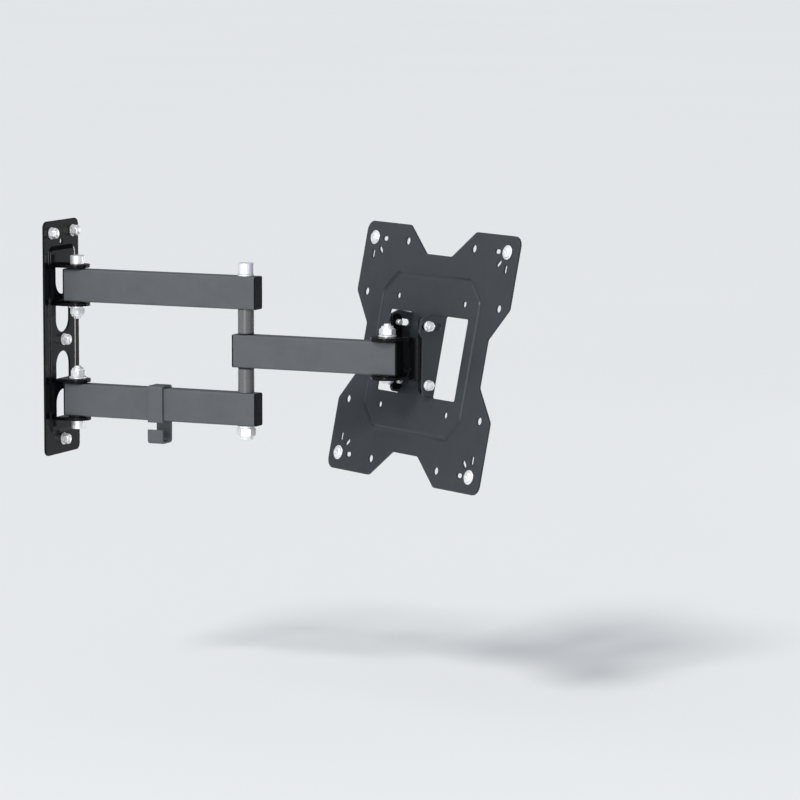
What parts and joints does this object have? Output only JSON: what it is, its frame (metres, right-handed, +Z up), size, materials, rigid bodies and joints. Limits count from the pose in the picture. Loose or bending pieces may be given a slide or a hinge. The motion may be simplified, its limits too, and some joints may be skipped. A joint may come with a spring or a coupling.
{
  "type": "full motion tv wall mount",
  "caption": "Wall bracket with parallel rear arms, a folding front arm, a swivel head and a tilting plate that carries a flat screen.",
  "frame": {"origin": "on the wall plane, on the middle line of the wall plate, at the height midway between the two rear arms", "axes": "+Y into the wall, +Z up, +X to the right when the wall is seen from the room; the arms reach out along -Y"},
  "size_m": [0.1558, 0.4631, 0.2255],
  "materials": {
    "arm_paint": "satin",
    "plate_paint": "satin",
    "wall_paint": "gloss",
    "zinc": "bright",
    "spacer": "satin",
    "nylon": "matte",
    "end_cap": "matte"
  },
  "bodies": {
    "wall_bracket": {"wall_plate": "wall_paint", "lag_washer_top_left": "zinc", "lag_screw_top_left": "zinc", "lag_washer_top_right": "zinc", "lag_screw_top_right": "zinc", "lag_washer_middle": "zinc", "lag_screw_middle": "zinc", "lag_washer_bottom": "zinc", "lag_screw_bottom": "zinc", "upper_shoulder_bolt": "zinc", "upper_shoulder_washer": "zinc", "upper_shoulder_nut": "zinc", "lower_shoulder_bolt": "zinc", "lower_shoulder_washer": "zinc", "lower_shoulder_nut": "zinc"},
    "rear_arms": {"upper_arm_tube": "arm_paint", "upper_arm_shoulder_cap": "end_cap", "upper_arm_elbow_cap": "end_cap", "upper_arm_shoulder_bush": "nylon", "upper_arm_elbow_bush": "nylon", "upper_arm_top_washer": "nylon", "upper_arm_lower_washer": "nylon", "lower_arm_tube": "arm_paint", "lower_arm_shoulder_cap": "end_cap", "lower_arm_elbow_cap": "end_cap", "lower_arm_shoulder_bush": "nylon", "lower_arm_elbow_bush": "nylon", "lower_arm_top_washer": "nylon", "lower_arm_lower_washer": "nylon", "cable_clip": "arm_paint", "elbow_bolt_washer": "zinc", "elbow_bolt": "zinc", "elbow_nut_washer": "zinc", "elbow_nut": "zinc", "upper_elbow_spacer": "spacer", "lower_elbow_spacer": "spacer"},
    "front_arm": {"front_arm_tube": "arm_paint", "front_arm_elbow_cap": "end_cap", "front_arm_head_cap": "end_cap", "front_arm_elbow_bush": "nylon", "front_arm_head_bush": "nylon", "elbow_top_washer": "nylon", "elbow_lower_washer": "nylon"},
    "swivel_head": {"swivel_bracket": "wall_paint", "swivel_bolt": "zinc", "swivel_nut_washer": "zinc", "swivel_nut": "zinc", "swivel_top_washer": "nylon", "swivel_lower_washer": "nylon", "tilt_bolt_lower_left": "zinc", "tilt_bolt_lower_right": "zinc", "tilt_bolt_upper_left": "zinc", "tilt_bolt_upper_right": "zinc"},
    "screen_plate": {"vesa_plate": "plate_paint", "screen_screw_top_left": "zinc", "screen_screw_top_right": "zinc", "screen_screw_bottom_left": "zinc", "screen_screw_bottom_right": "zinc"}
  },
  "joints": [
    {"name": "shoulder", "type": "hinge", "parent": "wall_bracket", "child": "rear_arms", "pos_m": [0, -0.0185, 0], "axis": [0, 0, 1], "range_deg": [-90, 90]},
    {"name": "elbow", "type": "hinge", "parent": "rear_arms", "child": "front_arm", "pos_m": [0, -0.192, 0], "axis": [0, 0, -1], "range_deg": [-105, 105]},
    {"name": "swivel", "type": "hinge", "parent": "front_arm", "child": "swivel_head", "pos_m": [0, -0.3325, 0], "axis": [0, 0, 1], "range_deg": [-150, 30]},
    {"name": "tilt", "type": "hinge", "parent": "swivel_head", "child": "screen_plate", "pos_m": [0.02269, -0.3456, -0.0238], "axis": [0.5, 0.866, 0], "range_deg": [-12, 3]}
  ]
}
